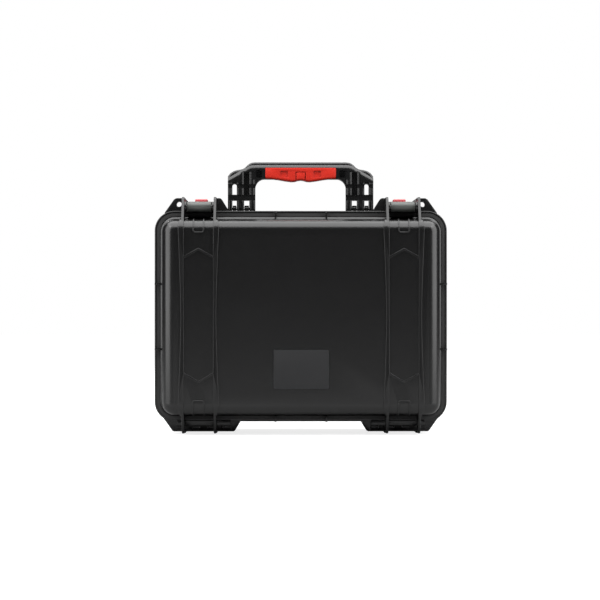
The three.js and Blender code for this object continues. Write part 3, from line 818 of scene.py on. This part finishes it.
def makeGrip():
    s = gripSettings
    front, back = gripLow.y, gripHigh.y
    points = list(s["underside"]) + [(s["topHalf"], s["top"]), (-s["topHalf"], s["top"])]
    grip = addOutline("gripSleeve", 1, inMetres(points), front, back)
    lower = gripLow.z + 6 * mm

    def below(edge):
        atFace = edgeAt(1, front)(edge) or edgeAt(1, back)(edge)
        return atFace and all(v.co.z < lower for v in edge.verts)

    roundEdges(grip, below, s["round"] * mm, 5)
    softenEdges(grip, s["firstSoft"] * mm, 2, 50)
    for side in (-1, 1):
        for face, outward in ((front, -1), (back, 1)):
            ends = sorted((face + outward * mm, face - outward * s["recessDepth"] * mm))
            x0, x1 = sorted((side * s["recess"][0] * mm, side * s["recess"][1] * mm))
            z0, z1 = s["recessHeights"]
            pad = addBlock("gripRecess", (x0, ends[0], z0 * mm), (x1, ends[1], z1 * mm))
            roundEdges(pad, edgeAlong(1), s["recessRound"] * mm, 4)
            cutBy(grip, pad)
    # a line round a square panel in the middle
    half, wide, top = s["panelHalf"], s["lineWidth"] / 2, s["panelTop"]
    bottom = s["lineBottom"]
    bars = (((-half - wide, bottom), (-half + wide, top)), ((half - wide, bottom), (half + wide, top)),
            ((-half - wide, top - 2 * wide), (half + wide, top)))
    for face, outward in ((front, -1), (back, 1)):
        ends = sorted((face + outward * mm, face - outward * s["lineDepth"] * mm))
        for (x0, z0), (x1, z1) in bars:
            cutBy(grip, addBlock("gripLine", (x0 * mm, ends[0], z0 * mm), (x1 * mm, ends[1], z1 * mm)))
    slotHalf = (handleSettings["coreHalf"] + s["slotGap"]) * mm
    x, z0, z1 = s["slot"]
    cutBy(grip, addBlock("coreSlot", (-x * mm, handleAxis.y - slotHalf, z0 * mm),
                         (x * mm, handleAxis.y + slotHalf, z1 * mm)))
    softenEdges(grip, s["lastSoft"] * mm, 2, 55)
    return smooth(grip, 40)


gripSleeve = makeGrip()
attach(gripSleeve, "handle")
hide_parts("handle_grip")
print("handle modelled", len(handleFrame.data.polygons), len(gripSleeve.data.polygons))


leverSettings = dict(
    halfWidth=14.25,
    outline=((-46, 257), (-40.8, 260.8), (-15, 261), (-13, 257.5), (29, 257.5), (29, 261.2), (49, 261.2),
             (49, 256.5), (52, 256.5), (52, 269), (49.5, 271.5), (8, 271.5), (-46, 269)),
    barrel=6,
    chamfer=2.6,
    soft=0.9,
    lastSoft=0.3,
    grooves=dict(count=4, first=40.2, pitch=2.6, height=272.2, radius=1.1),
    # each opening: half its width, front, bottom, back, top
    dish=(10, -36, 270.4, 12, 274),
    buttonWell=(7.9, 19.6, 266.8, 37.4, 273),
    catchSlot=(6.3, 26.1, 250, 48, 267.5),
    springPocket=(2.6, 20.2, 261.8, 25.4, 267.8),
    pinBore=2.5,
    catchBore=1.5,
)


def blockAtLatch(name, size):
    half, front, bottom, back, top = (value * mm for value in size)
    return addBlock(name, (latchX - half, front, bottom), (latchX + half, back, top))


def makeLever():
    s = leverSettings
    low, high = latchX - s["halfWidth"] * mm, latchX + s["halfWidth"] * mm
    lever = addOutline("leverLeft", 0, inMetres(s["outline"][::-1]), low, high)
    softenEdges(lever, s["soft"] * mm, 3, 45)
    barrel = addRod("barrel", 0, low, high, (latchAxis.y, latchAxis.z), s["barrel"] * mm, 40)
    softenEdges(barrel, s["soft"] * mm, 3)
    joined(lever, barrel)
    # corners taken off the front bar
    for side in (-1, 1):
        edge = s["halfWidth"] * side
        corner = inMetres([(edge + side, 266.2), (edge - side * s["chamfer"], 270.4), (edge + side, 270.4)])
        corner = [(latchX + x, z) for x, z in corner]
        cutBy(lever, addOutline("barCorner", 1, corner, -53 * mm, -44 * mm))
    # a shallow dish along the top, and finger ridges near the free end
    dish = blockAtLatch("dish", s["dish"])
    roundEdges(dish, edgeAlong(2), 3 * mm, 5)
    cutBy(lever, dish)
    g = s["grooves"]
    for index in range(g["count"]):
        place = ((g["first"] + g["pitch"] * index) * mm, g["height"] * mm)
        cutBy(lever, addRod("fingerGroove", 0, low - mm, high + mm, place, g["radius"] * mm, 16))
    for name in ("buttonWell", "catchSlot", "springPocket"):
        cutBy(lever, blockAtLatch(name, s[name]))
    for axis, radius in ((latchAxis, s["pinBore"]), ((catchPinLow + catchPinHigh) / 2, s["catchBore"])):
        cutBy(lever, addRod("leverBore", 0, low - mm, high + mm, (axis.y, axis.z), radius * mm, 28))
    softenEdges(lever, s["lastSoft"] * mm, 2, 58)
    return smooth(lever, 36)


leverLeft = makeLever()
leverRight = flipAcross(copyOf(leverLeft, "leverRight"))
for lever, side in ((leverLeft, "left"), (leverRight, "right")):
    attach(lever, f"latch_{side}")
    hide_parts(f"latch_lever_{side}")

buttonSettings = dict(crown=1.4, stem=((-3.5, 26.3, 265.1), (3.5, 30, 270.9)), dimple=0.5)


def makeButton():
    s = buttonSettings
    button = addBlock("buttonLeft", (buttonLow.x, buttonLow.y, 269.9 * mm), buttonHigh)
    roundEdges(button, edgeAlong(2), 1.6 * mm, 5)
    roundEdges(button, edgeAt(2, buttonHigh.z), s["crown"] * mm, 5)
    dimple = addBlock("dimple", (latchX - 4.6 * mm, 23.5 * mm, buttonHigh.z - s["dimple"] * mm),
                      (latchX + 4.6 * mm, 33.5 * mm, buttonHigh.z + mm))
    roundEdges(dimple, edgeAlong(2), 3 * mm, 6)
    cutBy(button, dimple)
    low, high = s["stem"]
    stem = addBlock("stem", (latchX + low[0] * mm, low[1] * mm, low[2] * mm),
                    (latchX + high[0] * mm, high[1] * mm, high[2] * mm))
    softenEdges(stem, 0.3 * mm, 2)
    joined(button, stem)
    softenEdges(button, 0.2 * mm, 2, 55)
    return smooth(button, 36)


buttonLeft = makeButton()
buttonRight = flipAcross(copyOf(buttonLeft, "buttonRight"))
for button, side in ((buttonLeft, "left"), (buttonRight, "right")):
    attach(button, f"button_{side}")
    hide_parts(f"release_button_{side}")
print("latches modelled", len(leverLeft.data.polygons), len(buttonLeft.data.polygons))


def makePin(node, name, body, sides=28):
    low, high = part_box(node)
    centre = (low + high) / 2
    radius = (high.z - low.z) / 2
    pin = addRod(name, 0, low.x, high.x, (centre.y, centre.z), radius, sides)
    selectIn(pin, "face", lambda f: abs(f.normal.x) > 0.9)
    bpy.ops.mesh.inset(thickness=radius * 0.3)
    leaveEdit()
    softenEdges(pin, 0.25 * mm, 2)
    smooth(pin)
    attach(pin, body)
    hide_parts(node)
    return pin


pins = []
for kind, body in (("hinge", "base"), ("handle", "base"), ("latch", "lid")):
    for side in ("left", "right"):
        pins.append(makePin(f"{kind}_pin_{side}", f"{kind}Pin{side.title()}", body))
for side in ("left", "right"):
    pins.append(makePin(f"catch_pin_{side}", f"catchPin{side.title()}", f"latch_{side}"))
print("pins modelled", len(pins))


plateSettings = dict(radius=1.6, rim=1.5, rimHeight=0.25)


def makePlate():
    s = plateSettings
    low, high = plateLow, plateHigh
    plate = addBlock("namePlate", low, high)
    roundEdges(plate, edgeAlong(1), s["radius"] * mm, 5)
    selectIn(plate, "face", lambda f: f.normal.y < -0.9)
    bpy.ops.mesh.inset(thickness=s["rim"] * mm)
    bpy.ops.transform.translate(value=(0, s["rimHeight"] * mm, 0))
    leaveEdit()
    softenEdges(plate, 0.12 * mm, 2, 30)
    return smooth(plate, 36)


namePlate = makePlate()
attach(namePlate, "lid")
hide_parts("name_plate")


foamSettings = dict(
    corner=13.5,
    pockets=((-146, 54, 142, 236, 72, 14), (-146, 24, 38, 126, 58, 12), (72, 146, 38, 92, 62, 6),
             (72, 146, 108, 162, 62, 6), (72, 146, 178, 232, 62, 6), (36, 60, 38, 126, 40, 6)),
    lip=1.6,
    waves=(14, 10),
    waveHeight=3.6,
)


def makeBaseFoam():
    s = foamSettings
    plan = dict(halfWidth=foamHigh.x, bottom=foamLow.z, top=foamHigh.z, radius=s["corner"] * mm)
    foam = addBody("baseFoam", plan, foamLow.y, foamHigh.y, 7.5 * mm, 4)
    lip = s["lip"]
    roundEdges(foam, edgeAt(1, foamLow.y), lip * mm, 4)
    for x0, x1, z0, z1, depth, radius in s["pockets"]:
        floor = foamLow.y + depth * mm
        cut = addBlock("pocket", (x0 * mm, foamLow.y - mm, z0 * mm), (x1 * mm, floor, z1 * mm))
        roundEdges(cut, edgeAlong(1), radius * mm, 8)
        roundEdges(cut, edgeAt(1, floor), 3 * mm, 4)
        mouth = addBlock("mouth", ((x0 - lip) * mm, foamLow.y - mm, (z0 - lip) * mm),
                         ((x1 + lip) * mm, foamLow.y + lip * mm, (z1 + lip) * mm))
        roundEdges(mouth, edgeAlong(1), (radius + lip) * mm, 8)
        roundEdges(mouth, edgeAt(1, foamLow.y + lip * mm), 0.95 * lip * mm, 3)
        cutBy(foam, cut, mouth)
    return smooth(foam, 40)


baseFoam = makeBaseFoam()
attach(baseFoam, "base")
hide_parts("base_foam")


def makeLidFoam():
    s = foamSettings
    low, high = padLow, padHigh
    plan = dict(halfWidth=high.x, bottom=low.z, top=high.z, radius=s["corner"] * mm)
    block = addBody("lidFoam", plan, high.y - 5 * mm, low.y, 9 * mm, 4)
    smooth(block, 40)
    # the soft side is a sheet of rounded peaks
    deselectAll()
    cols, rows = s["waves"]
    across, up = cols * 10, rows * 10
    bpy.ops.mesh.primitive_grid_add(x_subdivisions=across, y_subdivisions=up, size=1)
    sheet = bpy.context.object
    sheet.rotation_euler = (math.pi / 2, 0, 0)
    sheet.scale = (high.x * 2 - 6 * mm, high.z - low.z - 6 * mm, 1)
    sheet.location = (0, high.y - s["waveHeight"] * mm, (low.z + high.z) / 2)
    settle(sheet, "peaks")
    width, height = high.x * 2 - 6 * mm, high.z - low.z - 6 * mm
    for vertex in sheet.data.vertices:
        u = (vertex.co.x / width + 0.5) * cols
        v = ((vertex.co.z - (low.z + high.z) / 2) / height + 0.5) * rows
        edge = min(u, cols - u, v, rows - v)
        wave = math.sin(math.pi * u) * math.sin(math.pi * v)
        vertex.co.y += s["waveHeight"] * mm * wave * min(1, edge * 2)
    makeActive(sheet)
    step = sheet.modifiers.new("thick", "SOLIDIFY")
    step.thickness = 6 * mm
    step.offset = 1 if sheet.data.polygons[0].normal.y < 0 else -1
    bpy.ops.object.modifier_apply(modifier=step.name)
    return sheet, block


peaks, lidFoamBlock = makeLidFoam()
lidFoam = smooth(joined(lidFoamBlock, peaks), 60)
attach(lidFoam, "lid")
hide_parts("lid_foam")
print("foam modelled", len(baseFoam.data.polygons), len(lidFoam.data.polygons))


def addNode(nodes, kind, values=None, **options):
    node = nodes.new("ShaderNode" + kind)
    for option, value in options.items():
        setattr(node, option, value)
    for socket, value in (values or {}).items():
        node.inputs[socket].default_value = value
    return node


def wire(links, *pairs):
    # each pair is a node and its output, then a node and its input
    for source, output, target, entry in pairs:
        links.new(source.outputs[output], target.inputs[entry])


def newGroup(name, inputs, outputs):
    group = bpy.data.node_groups.new(name, "ShaderNodeTree")
    for label, start in inputs:
        socket = group.interface.new_socket(label, in_out="INPUT", socket_type="NodeSocketFloat")
        socket.default_value = start
    for label, kind in outputs:
        group.interface.new_socket(label, in_out="OUTPUT", socket_type=kind)
    nodes = group.nodes
    return group, nodes, nodes.new("NodeGroupInput"), nodes.new("NodeGroupOutput")


def makeGrainGroup():
    # fine moulded texture: a height that is turned into a normal
    group, nodes, entry, result = newGroup(
        "plasticGrain", [("Scale", 1400.0), ("Depth", 0.3), ("Patches", 0.06)],
        [("Normal", "NodeSocketVector"), ("Roughness Shift", "NodeSocketFloat")])
    place = addNode(nodes, "TexCoord")
    fine = addNode(nodes, "TexNoise", {"Detail": 3.0, "Roughness": 0.6})
    cells = addNode(nodes, "TexVoronoi")
    mix = addNode(nodes, "Math", {1: 0.5}, operation="MULTIPLY_ADD")
    bump = addNode(nodes, "Bump", {"Distance": 0.00006})
    broad = addNode(nodes, "TexNoise", {"Scale": 26.0, "Detail": 4.0})
    centred = addNode(nodes, "Math", {1: 0.5}, operation="SUBTRACT")
    scaled = addNode(nodes, "Math", operation="MULTIPLY")
    wire(group.links,
         (place, "Object", fine, "Vector"), (place, "Object", cells, "Vector"),
         (place, "Object", broad, "Vector"),
         (entry, "Scale", fine, "Scale"), (entry, "Scale", cells, "Scale"),
         (cells, "Distance", mix, 0), (fine, "Fac", mix, 2), (mix, 0, bump, "Height"),
         (entry, "Depth", bump, "Strength"), (broad, "Fac", centred, 0), (centred, 0, scaled, 0),
         (entry, "Patches", scaled, 1), (bump, "Normal", result, "Normal"),
         (scaled, 0, result, "Roughness Shift"))
    return group


def makeWearGroup():
    # a broken mask along the outward edges
    group, nodes, entry, result = newGroup(
        "edgeWear", [("Width", 0.0006), ("Amount", 0.5)], [("Mask", "NodeSocketFloat")])
    rounded = addNode(nodes, "Bevel", samples=4)
    face = addNode(nodes, "NewGeometry")
    dot = addNode(nodes, "VectorMath", operation="DOT_PRODUCT")
    spread = addNode(nodes, "MapRange", {"From Min": 0.995, "From Max": 0.86})
    place = addNode(nodes, "TexCoord")
    broken = addNode(nodes, "TexNoise", {"Scale": 160.0, "Detail": 5.0})
    gate = addNode(nodes, "MapRange", {"From Min": 0.42, "From Max": 0.62})
    both = addNode(nodes, "Math", operation="MULTIPLY")
    level = addNode(nodes, "Math", operation="MULTIPLY")
    wire(group.links,
         (entry, "Width", rounded, "Radius"), (rounded, "Normal", dot, 0), (face, "Normal", dot, 1),
         (dot, "Value", spread, "Value"), (place, "Object", broken, "Vector"), (broken, "Fac", gate, "Value"),
         (spread, "Result", both, 0), (gate, "Result", both, 1), (both, 0, level, 0),
         (entry, "Amount", level, 1), (level, 0, result, "Mask"))
    return group


def makeDustGroup():
    # a faint settled layer on faces that look up
    group, nodes, entry, result = newGroup("settledDust", [("Amount", 0.05)], [("Mask", "NodeSocketFloat")])
    face = addNode(nodes, "NewGeometry")
    split = addNode(nodes, "SeparateXYZ")
    up = addNode(nodes, "MapRange", {"From Min": 0.4})
    place = addNode(nodes, "TexCoord")
    cloud = addNode(nodes, "TexNoise", {"Scale": 60.0, "Detail": 6.0})
    both = addNode(nodes, "Math", operation="MULTIPLY")
    level = addNode(nodes, "Math", operation="MULTIPLY")
    wire(group.links,
         (face, "Normal", split, 0), (split, "Z", up, "Value"), (place, "Object", cloud, "Vector"),
         (up, "Result", both, 0), (cloud, "Fac", both, 1), (both, 0, level, 0),
         (entry, "Amount", level, 1), (level, 0, result, "Mask"))
    return group


grainGroup = makeGrainGroup()
wearGroup = makeWearGroup()
dustGroup = makeDustGroup()


def makePlastic(name, colour, wornColour, roughness, grain, wear, dust, **extra):
    material = bpy.data.materials.new(name)
    material.use_nodes = True
    nodes = material.node_tree.nodes
    shader = nodes["Principled BSDF"]
    shader.inputs["IOR"].default_value = 1.5
    shader.inputs["Metallic"].default_value = extra.get("metallic", 0.0)
    shader.inputs["Specular IOR Level"].default_value = extra.get("specular", 0.5)
    if "sheen" in extra:
        shader.inputs["Sheen Weight"].default_value = extra["sheen"]
        shader.inputs["Sheen Roughness"].default_value = 0.5
    scale, depth, patches = grain
    width, amount = wear
    grained = addNode(nodes, "Group", node_tree=grainGroup,
                      values={"Scale": scale, "Depth": depth, "Patches": patches})
    edges = addNode(nodes, "Group", {"Width": width, "Amount": amount}, node_tree=wearGroup)
    settled = addNode(nodes, "Group", {"Amount": dust}, node_tree=dustGroup)
    worn = addNode(nodes, "Mix", {"A": (*colour, 1), "B": (*wornColour, 1)}, data_type="RGBA")
    dusty = addNode(nodes, "Mix", {"B": (*dustColour, 1)}, data_type="RGBA")
    rough = addNode(nodes, "Math", {1: roughness}, operation="ADD")
    roughWorn = addNode(nodes, "Math", {1: wornRoughness}, operation="MULTIPLY_ADD", use_clamp=True)
    wire(material.node_tree.links,
         (edges, "Mask", worn, "Factor"), (worn, "Result", dusty, "A"), (settled, "Mask", dusty, "Factor"),
         (dusty, "Result", shader, "Base Color"), (grained, "Roughness Shift", rough, 0),
         (edges, "Mask", roughWorn, 0), (rough, 0, roughWorn, 2), (roughWorn, 0, shader, "Roughness"),
         (grained, "Normal", shader, "Normal"))
    return material


dustColour = (0.34, 0.33, 0.31)
wornRoughness = 0.12  # added where an edge is worn

# grain is scale, depth and patches; wear is width and amount
shellBlack = makePlastic(
    "shellBlack", colour=(0.0030, 0.0030, 0.0031), wornColour=(0.02, 0.02, 0.02), roughness=0.26,
    grain=(1500, 0.1, 0.04), wear=(0.0004, 0.08), dust=0.004)
plateBlack = makePlastic(
    "plateBlack", colour=(0.011, 0.0112, 0.012), wornColour=(0.05, 0.05, 0.05), roughness=0.36,
    grain=(2600, 0.12, 0.05), wear=(0.0003, 0.4), dust=0.0)
latchGrey = makePlastic(
    "latchGrey", colour=(0.056, 0.060, 0.056), wornColour=(0.12, 0.13, 0.12), roughness=0.40,
    grain=(1500, 0.2, 0.06), wear=(0.0005, 0.15), dust=0.01)
buttonRed = makePlastic(
    "buttonRed", colour=(0.42, 0.06, 0.068), wornColour=(0.5, 0.12, 0.12), roughness=0.38,
    grain=(1600, 0.15, 0.05), wear=(0.0005, 0.1), dust=0.01)
gripRed = makePlastic(
    "gripRed", colour=(0.40, 0.012, 0.004), wornColour=(0.42, 0.04, 0.02), roughness=0.48,
    grain=(1300, 0.15, 0.06), wear=(0.0006, 0.06), dust=0.005, specular=0.25)
foamBlack = makePlastic(
    "foamBlack", colour=(0.022, 0.022, 0.024), wornColour=(0.05, 0.05, 0.05), roughness=0.93,
    grain=(700, 1.0, 0.05), wear=(0.001, 0.2), dust=0.03, sheen=0.2, specular=0.2)
sealRubber = makePlastic(
    "sealRubber", colour=(0.012, 0.012, 0.012), wornColour=(0.03, 0.03, 0.03), roughness=0.6,
    grain=(1500, 0.2, 0.05), wear=(0.0004, 0.2), dust=0.02)
steel = makePlastic(
    "steel", colour=(0.52, 0.52, 0.53), wornColour=(0.7, 0.7, 0.7), roughness=0.27,
    grain=(2200, 0.06, 0.08), wear=(0.0003, 0.3), dust=0.0, metallic=1.0)


def dress(piece, material):
    piece.data.materials.clear()
    piece.data.materials.append(material)


for pieces, material in (
        ((lidShell, baseShell, handleFrame), shellBlack),
        ((namePlate,), plateBlack),
        ((leverLeft, leverRight), latchGrey),
        ((buttonLeft, buttonRight), buttonRed),
        ((gripSleeve,), gripRed),
        ((baseFoam, lidFoam), foamBlack),
        (pins, steel)):
    for piece in pieces:
        dress(piece, material)

cadLooks = dict(latch_catch=latchGrey, button_spring=steel, lid_seal=sealRubber, valve_ring=sealRubber,
                valve_body=shellBlack, valve_cap=latchGrey)
for name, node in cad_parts.items():
    for start, material in cadLooks.items():
        if name.startswith(start):
            dress(node, material)
print("materials made")


stageSettings = dict(size=14.0, tone=0.33, glowNear=0.80, glowFar=1.0, near=0.45, far=1.3)


def makeFloor():
    s = stageSettings
    deselectAll()
    bpy.ops.mesh.primitive_plane_add(size=s["size"], location=(0, 0, -0.0002))
    floor = bpy.context.object
    floor.name = "floor"
    material = bpy.data.materials.new("floorWhite")
    material.use_nodes = True
    nodes, links = material.node_tree.nodes, material.node_tree.links
    shader = nodes["Principled BSDF"]
    shader.inputs["Base Color"].default_value = (s["tone"], s["tone"], s["tone"], 1)
    shader.inputs["Roughness"].default_value = 0.9
    shader.inputs["Specular IOR Level"].default_value = 0.0
    shader.inputs["Emission Color"].default_value = (1, 1, 1, 1)
    # paper that goes to plain white away from the case, only as the camera sees it
    place = addNode(nodes, "TexCoord")
    reach = addNode(nodes, "VectorMath", operation="LENGTH")
    glow = addNode(nodes, "MapRange", {"From Min": s["near"], "From Max": s["far"],
                                       "To Min": s["glowNear"], "To Max": s["glowFar"]})
    path = addNode(nodes, "LightPath")
    shown = addNode(nodes, "Math", operation="MULTIPLY")
    wire(links, (place, "Object", reach, 0), (reach, "Value", glow, "Value"), (glow, "Result", shown, 0),
         (path, "Is Camera Ray", shown, 1), (shown, 0, shader, "Emission Strength"))
    dress(floor, material)


def makeWorld():
    world = bpy.data.worlds.new("studio")
    bpy.context.scene.world = world
    world.use_nodes = True
    nodes, links = world.node_tree.nodes, world.node_tree.links
    seen = nodes["Background"]
    seen.inputs["Color"].default_value = (1, 1, 1, 1)
    seen.inputs["Strength"].default_value = 1.0
    around = addNode(nodes, "Background", {"Color": (0.97, 0.98, 1, 1), "Strength": 0.06})
    path = addNode(nodes, "LightPath")
    mix = addNode(nodes, "MixShader")
    wire(links, (path, "Is Camera Ray", mix, "Fac"), (around, 0, mix, 1), (seen, 0, mix, 2),
         (mix, 0, nodes["World Output"], "Surface"))


def addLamp(name, place, aim, width, height, watts):
    deselectAll()
    bpy.ops.object.light_add(type="AREA", location=place)
    lamp = bpy.context.object
    lamp.name = name
    lamp.data.shape = "RECTANGLE"
    lamp.data.size = width
    lamp.data.size_y = height
    lamp.data.energy = watts
    lamp.rotation_euler = (Vector(aim) - Vector(place)).to_track_quat("-Z", "Y").to_euler()


cameraSettings = dict(place=(-0.026, -2.526, 0.155), aim=(-0.001, -0.026, 0.1554), lens=128.8, sensor=36)


def makeCamera():
    s = cameraSettings
    deselectAll()
    bpy.ops.object.camera_add(location=s["place"])
    camera = bpy.context.object
    camera.name = "frontCamera"
    camera.data.lens = s["lens"]
    camera.data.sensor_width = s["sensor"]
    camera.rotation_euler = (Vector(s["aim"]) - camera.location).to_track_quat("-Z", "Y").to_euler()
    bpy.context.scene.camera = camera


makeFloor()
makeWorld()
addLamp("softTop", (0, -0.45, 1.75), (0, -0.45, 0), 3.1, 2.5, 112)
addLamp("softLeft", (-1.5, -0.75, 0.75), (0, 0, 0.2), 1.6, 2.0, 39)
addLamp("softRight", (1.5, -0.75, 0.75), (0, 0, 0.2), 1.6, 2.0, 39)
addLamp("softBack", (0, 2.2, 1.0), (0, 0, 0.15), 1.8, 0.9, 12)
makeCamera()
bpy.context.scene.view_settings.view_transform = "Standard"
print("stage set")
